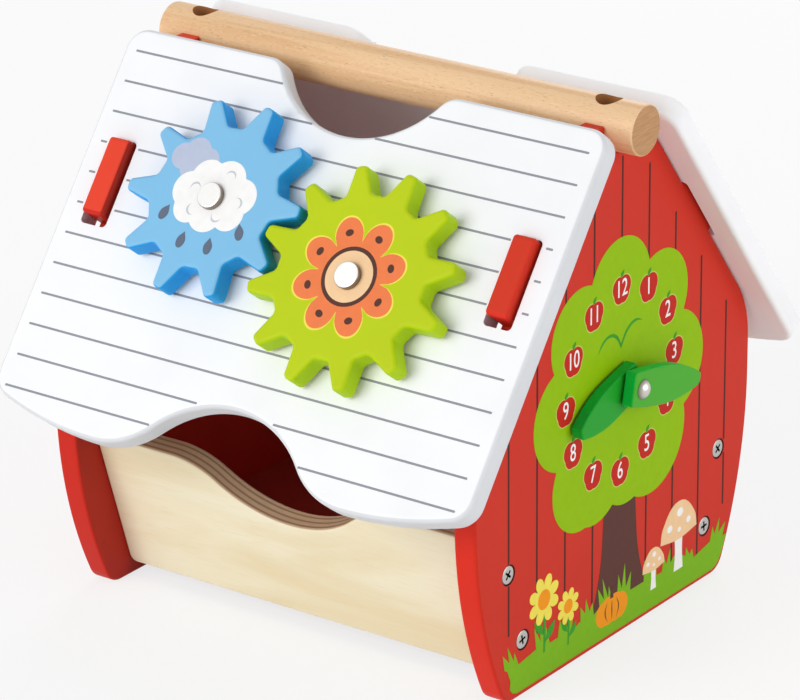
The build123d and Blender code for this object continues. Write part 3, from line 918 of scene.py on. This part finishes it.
numbers = {
    "ring": 45.75,            # from the middle of the crown
    "cheeks": ((-2.3, 1.0, 5.3), (2.3, 1.0, 5.3), (-1.4, -2.2, 4.9), (1.4, -2.2, 4.9)),
    "rim": 0.5,
    "height": 12.0,           # of the letters' em, so that a number stands about 8.5 mm tall
    "narrow": 0.84,
    "swell": 0.05,
    "leaf": [(0, 0), (1.6, 1.8, "smooth"), (4.4, 1.6), (2.4, -0.2, "smooth")],
    "leafPlace": (-1.0, 5.6, 30),  # across, up, turn in degrees
}


def inkNumber(hour, across, up, layer):
    deselect()
    bpy.ops.object.text_add()
    digit = bpy.context.object
    digit.data.body = str(hour)
    digit.data.align_x = "CENTER"
    digit.data.align_y = "CENTER"
    digit.data.size = numbers["height"] * mm
    digit.data.offset = numbers["swell"] * mm
    top = inkLayer["step"] * (layer + 1)
    digit.data.extrude = (top + inkLayer["sunk"]) / 2
    bpy.ops.object.convert(target="MESH")
    digit = bpy.context.object
    digit.location = (across * mm, up * mm, 0)
    digit.scale.x = numbers["narrow"]
    applyPlace()
    return closeShape(digit, (top - inkLayer["sunk"]) / 2)


rims, spots, digits, stalks = [], [], [], []
for hour in range(1, 13):
    angle = math.radians(90 - 30 * hour)
    across = numbers["ring"] * math.cos(angle)
    up = crown["up"] + numbers["ring"] * math.sin(angle)
    for layer, wider, made in ((3, numbers["rim"], rims), (4, 0, spots)):
        cheeks = [(x, y, radius + wider) for x, y, radius in numbers["cheeks"]]
        apple = bubbles(cheeks, count=72)
        made.append(inkShape(turned(apple, across, up), layer))
    digits.append(inkNumber(hour, across, up, 5))
    aside, above, turn = numbers["leafPlace"]
    stalks.append(inkShape(turned(numbers["leaf"], across + aside, up + above, turn), 5))
layPrint("spot_rims_print", rims, "clockGable", "house", "pale green ink")
layPrint("spots_print", spots, "clockGable", "house", "red spot ink")
layPrint("numbers_print", digits, "clockGable", "house", "white ink")
layPrint("spot_leaves_print", stalks, "clockGable", "house", "mark green ink")
print("clock face done")

# Meadow along the foot of the clock gable
sideArc = {"widest": 115.7, "up": 99.15, "radius": 218.0}


def gableSide(up):
    drop = sideArc["up"] - up
    return sideArc["widest"] - sideArc["radius"] + (sideArc["radius"] ** 2 - drop**2) ** 0.5


meadow = {
    "leftEdge": 6.9,          # bare rim of the board, with the print's shift taken in
    "rightEdge": 4.6,
    "leftFoot": ((-90.6, 6.6), (-88.6, 4.2), (-85.5, 3.0), (-81, 2.8)),
    "rightFoot": ((82, 2.3), (85.8, 3.0), (88.6, 4.9), (90.3, 7.3)),  # round the corners
    "sideSteps": (17, 14, 11),    # up the board's sides
    "tufts": (  # across, base height, blade height, lean
        (-89.5, 19, 10, -3), (-64, 20, 15, -3), (-46, 19, 11, 2), (-27, 20, 9, -1),
        (-11, 21, 13, -3), (4, 21, 14, 1), (27, 20, 14, 0), (43, 19, 9, 2), (60, 17, 6, -1),
        (86, 19, 9, 3),
    ),
    "blade": 3.6,             # half of a tuft's foot
    "tuft": (  # a tuft's outline: times blade, times lean, above its base, times its height
        (1.6, 0, -2, 0), (1.5, 1, 0, 0.55), (0.55, 0, 1, 0), (0, 1, 0, 1), (-0.45, 0, 1.5, 0),
        (-1.4, 0.6, 0, 0.7), (-1.5, 0, -1, 0),
    ),
}
outline = [(-gableSide(z) + meadow["leftEdge"], z) for z in meadow["sideSteps"]]
outline += [*meadow["leftFoot"], *meadow["rightFoot"]]
outline += [(gableSide(z) - meadow["rightEdge"], z) for z in reversed(meadow["sideSteps"])]
for across, base, height, lean in reversed(meadow["tufts"]):
    outline += [
        (across + meadow["blade"] * aside + lean * bend, base + above + height * rise)
        for aside, bend, above, rise in meadow["tuft"]
    ]
layPrint("grass_print", [inkShape(outline, 3)], "clockGable", "house", "grass green ink")

flower = {
    "stem": [
        (-0.7, -27), (0.9, -27), (1.5, -12, "smooth"), (0.7, 0), (-0.7, 0), (-0.4, -12, "smooth"),
    ],
    "leaf": [(0, 0), (4, 5, "smooth"), (10, 7), (7, 1.5, "smooth")],
    "leaves": ((0.5, -22, 10), (-0.3, -18, 95)),  # across and up from the head, turn in degrees
    "heads": ((-63, 42, 12.5), (-43, 31, 9.0)),  # across, up, radius
    "tall": 42,                   # the stem and leaves are drawn for this height
    "petals": 8,
    "inner": 0.55,                # of the head's radius
    "heart": 0.8,
}
stems, yellow, hearts = [], [], []
for across, up, radius in flower["heads"]:
    size = up / flower["tall"]
    stems.append(inkShape(turned(flower["stem"], across, up, 0, size), 4))
    for aside, above, turn in flower["leaves"]:
        leaf = turned(flower["leaf"], across + aside, up + above * size, turn, size)
        stems.append(inkShape(leaf, 4))
    head = petals(flower["petals"], radius * flower["inner"], radius)
    yellow.append(inkShape(turned(head, across, up), 5))
    heart = oval(radius * flower["heart"], radius * flower["heart"])
    hearts.append(inkShape(turned(heart, across, up), 6))
layPrint("stems_print", stems, "clockGable", "house", "mark green ink")
layPrint("yellow_petals_print", yellow, "clockGable", "house", "yellow ink")
layPrint("flower_hearts_print", hearts, "clockGable", "house", "orange ink")

pumpkin = {
    "across": -6.0, "up": 15.0,
    "ribs": [(-7, 0, 6.5), (-3, 0.4, 7.2), (3, 0.4, 7.2), (7, 0, 6.5)],
    "creases": (-4.6, 0.0, 4.6),
    "creaseReach": 5.4,           # up and down
    "creaseBow": (0.8, 1.25),     # times its offset, at its ends and in its middle
    "creaseSides": (0.5, -0.4),
    "stalk": [
        (-1.4, 6), (1.4, 6), (1.2, 9, "smooth"), (3.4, 11.5), (1, 12), (-1.2, 9.5, "smooth"),
    ],
}
ribs = inkShape(turned(bubbles(pumpkin["ribs"]), pumpkin["across"], pumpkin["up"]), 4)
layPrint("pumpkin_print", [ribs], "clockGable", "house", "orange ink")
creases = [inkShape(turned(pumpkin["stalk"], pumpkin["across"], pumpkin["up"]), 5)]
for offset in pumpkin["creases"]:
    end, middle = (offset * bow for bow in pumpkin["creaseBow"])
    right, left = pumpkin["creaseSides"]
    curve = [
        (end, pumpkin["creaseReach"]), (middle + right, 0, "smooth"),
        (end, -pumpkin["creaseReach"]), (middle + left, 0, "smooth"),
    ]
    creases.append(inkShape(turned(curve, pumpkin["across"], pumpkin["up"]), 5))
layPrint("pumpkin_lines_print", creases, "clockGable", "house", "dark brown ink")

mushroom = {
    "stem": [(-4, 0), (4, 0), (3.2, 10, "smooth"), (3.6, 20), (-3.6, 20), (-3.0, 10, "smooth")],
    "cap": [
        (-16, 18), (-14, 26, "smooth"), (0, 36, "smooth"), (14, 26, "smooth"), (16, 18),
        (0, 16, "smooth"),
    ],
    "dots": ((-8, 24, 4.4), (1, 30, 5.2), (8.5, 23.5, 3.8), (0.5, 21, 3)),
    "dotHeight": 0.85,            # of its width
    "stand": ((52, 14, 1.0), (30, 12, 0.6)),  # across, up, size
}
stalks, caps, dots = [], [], []
for across, up, size in mushroom["stand"]:
    stalks.append(inkShape(turned(mushroom["stem"], across, up, 0, size), 4))
    caps.append(inkShape(turned(mushroom["cap"], across, up, 0, size), 5))
    for x, y, width in mushroom["dots"]:
        dot = turned(oval(width, width * mushroom["dotHeight"]), x, y)
        dots.append(inkShape(turned(dot, across, up, 0, size), 6))
layPrint("mushroom_stalks_print", stalks, "clockGable", "house", "white ink")
layPrint("mushroom_caps_print", caps, "clockGable", "house", "cream ink")
layPrint("mushroom_dots_print", dots, "clockGable", "house", "white ink")
print("meadow done")

# Cloud and raindrops on the blue gear
cloud = {
    "puffs": (  # across, up, radius
        (-14, 1, 9), (-6, 8, 9.5), (5, 9, 10), (15, 3, 9), (12, -6, 8.5), (0, -8, 9.5),
        (-11, -7, 8),
    ),
    "greyPuffs": ((-7, 1, 6.5), (0, 4, 7.5), (7, 1, 6.5), (0, -3, 7)),
    "greyPlace": (-17, 15),
    # Across, up, and turn in degrees
    "drops": ((-23, -13, -20), (-8, -24, -6), (8, -24, 6), (22, -14, 20)),
    "curls": ((-11, 3, 20), (6, 12, -10), (15, 0, -60), (6, -9, 170), (-9, -8, 120)),
    "drop": [(0, 5.2), (2.4, 0, "smooth"), (0, -3.2, "smooth"), (-2.4, 0, "smooth")],
    "curl": [
        (-3.2, -0.6), (-1.6, 2, "smooth"), (1.6, 2, "smooth"), (3, -1), (1.3, 1.1, "smooth"),
        (-1.3, 1.2, "smooth"),
    ],
}
greyCloud = inkShape(turned(bubbles(cloud["greyPuffs"]), *cloud["greyPlace"]), 0)
layPrint("grey_cloud_print", [greyCloud], "blueGear", "blue_wheel", "lilac grey ink")
whiteCloud = inkShape(bubbles(cloud["puffs"]), 1)
layPrint("cloud_print", [whiteCloud], "blueGear", "blue_wheel", "white ink")
drops = [inkShape(turned(cloud["drop"], x, y, turn), 1) for x, y, turn in cloud["drops"]]
layPrint("drops_print", drops, "blueGear", "blue_wheel", "slate ink")
curls = [inkShape(turned(cloud["curl"], x, y, turn), 2) for x, y, turn in cloud["curls"]]
layPrint("curls_print", curls, "blueGear", "blue_wheel", "curl grey ink")

# Flower on the green gear
bloom = {
    "petals": 8, "inner": 17.0, "outer": 29.0, "rim": 1,
    "ring": 14.5, "heart": 12.5,
    "seeds": 21.5,                # from the middle of the gear
    "seed": (3.4, 4.25),
}
petalShape = inkShape(petals(bloom["petals"], bloom["inner"], bloom["outer"]), 1)
layPrint("petals_print", [petalShape], "greenGear", "green_wheel", "petal orange ink")
halo = petals(bloom["petals"], bloom["inner"] + bloom["rim"], bloom["outer"] + bloom["rim"])
layPrint("petal_rim_print", [inkShape(halo, 0)], "greenGear", "green_wheel", "yellow ink")
seeds = [inkShape(oval(bloom["ring"] * 2, bloom["ring"] * 2), 2)]
seed = turned(oval(*bloom["seed"]), bloom["seeds"], 0)
for k in range(bloom["petals"]):
    seeds.append(inkShape(turned(seed, 0, 0, 360 * (k + 0.5) / bloom["petals"]), 2))
layPrint("seeds_print", seeds, "greenGear", "green_wheel", "dark brown ink")
heart = inkShape(oval(bloom["heart"] * 2, bloom["heart"] * 2), 3)
layPrint("heart_print", [heart], "greenGear", "green_wheel", "cream ink")
print("gear prints done")


# Floor, light and camera

stage = {
    "floor": 12.0,            # metres
    "floorTone": "#FAFAFA",
    "tooth": 2.5,             # mm
    "level": (0.985, 1.0),
    "keepShade": 0.25,        # how much of the shadow the camera still sees
    "ambient": 0.5,
    "tint": "#F6F7FA",
    "aimAt": Vector((0, 0, 0.12)),
    "lamps": {  # place in metres, size in metres, power in watts
        "key": ((-0.6, -2.3, 1.2), 1.5, 35),
        "right fill": ((2.0, 0.5, 0.4), 1.6, 19),
        "back": ((-0.6, 2.1, 1.4), 1.4, 18),
    },
}


# What the camera, metal and glass see, which is white, while the rest lights the object
def seenWhite(tree):
    rays = addNode(tree, "LightPath", {}, {})
    seen = rays.outputs["Is Camera Ray"]
    for kind in ("Is Glossy Ray", "Is Transmission Ray"):
        links = {0: seen, 1: rays.outputs[kind]}
        seen = addNode(tree, "Math", {"operation": "MAXIMUM"}, links).outputs[0]
    return seen


# Pale matt board: it is seen almost white, and it keeps the shadow
def paleFloor():
    look = {"Roughness": 0.9, "Specular IOR Level": 0.0}
    material, tree, shader = newMaterial("pale studio floor", look)
    place = addNode(tree, "TexCoord", {}, {})
    tooth = addNode(
        tree, "TexNoise", {},
        {"Vector": place.outputs["Object"], "Scale": 1 / stage["tooth"] / mm},
    )
    tone = unevenTone(tree, linear(stage["floorTone"]), tooth.outputs["Fac"], stage["level"])
    tree.links.new(tone, shader.inputs["Base Color"])
    white = addNode(tree, "Emission", {}, {"Color": (1, 1, 1, 1), "Strength": 1.0})
    part = addNode(
        tree, "Math", {"operation": "MULTIPLY"}, {0: seenWhite(tree), 1: 1 - stage["keepShade"]}
    )
    mixed = addNode(
        tree, "MixShader", {}, {0: part.outputs[0], 1: shader.outputs[0], 2: white.outputs[0]}
    )
    tree.links.new(mixed.outputs[0], tree.nodes["Material Output"].inputs["Surface"])
    return material


deselect()
bpy.ops.mesh.primitive_plane_add(size=stage["floor"])
floor = bpy.context.object
floor.name = "studio_floor"
floor.data.materials.append(paleFloor())

world = bpy.context.scene.world or bpy.data.worlds.new("studio")
bpy.context.scene.world = world
world.use_nodes = True
sky = world.node_tree
sky.nodes.clear()
dim = addNode(
    sky, "Background", {}, {"Color": linear(stage["tint"]), "Strength": stage["ambient"]}
)
white = addNode(sky, "Background", {}, {"Color": (1, 1, 1, 1), "Strength": 1.0})
both = addNode(
    sky, "MixShader", {}, {0: seenWhite(sky), 1: dim.outputs[0], 2: white.outputs[0]}
)
addNode(sky, "OutputWorld", {}, {"Surface": both.outputs[0]})

for name, (spot, size, power) in stage["lamps"].items():
    bpy.ops.object.light_add(type="AREA", location=spot)
    lamp = bpy.context.object
    lamp.name = name
    lamp.data.size = size
    lamp.data.energy = power
    lamp.rotation_mode = "QUATERNION"
    lamp.rotation_quaternion = (stage["aimAt"] - lamp.location).to_track_quat("-Z", "Y")

view = {
    "azimuth": math.radians(36.15),
    "elevation": math.radians(21.95),
    "roll": math.radians(-0.55),
    "distance": 2.18861,
    "target": Vector((-2.64 * mm, 0, 117.43 * mm)),
    "lens": 204.96,
    "sensor": 36.0,
    "clip": (0.1, 60.0),
}
swing = Matrix.Rotation(view["azimuth"], 4, "Z")
tip = Matrix.Rotation(math.radians(90) - view["elevation"], 4, "X")
roll = Matrix.Rotation(view["roll"], 4, "Z")
aimed = swing @ tip @ roll
bpy.ops.object.camera_add()
camera = bpy.context.object
stand = view["target"] + aimed.col[2].to_3d() * view["distance"]
camera.matrix_world = Matrix.Translation(stand) @ aimed
camera.data.lens = view["lens"]
camera.data.sensor_width = view["sensor"]
camera.data.sensor_fit = "HORIZONTAL"
camera.data.clip_start, camera.data.clip_end = view["clip"]
bpy.context.scene.camera = camera
bpy.context.scene.view_settings.view_transform = "Standard"

print("scene ready")
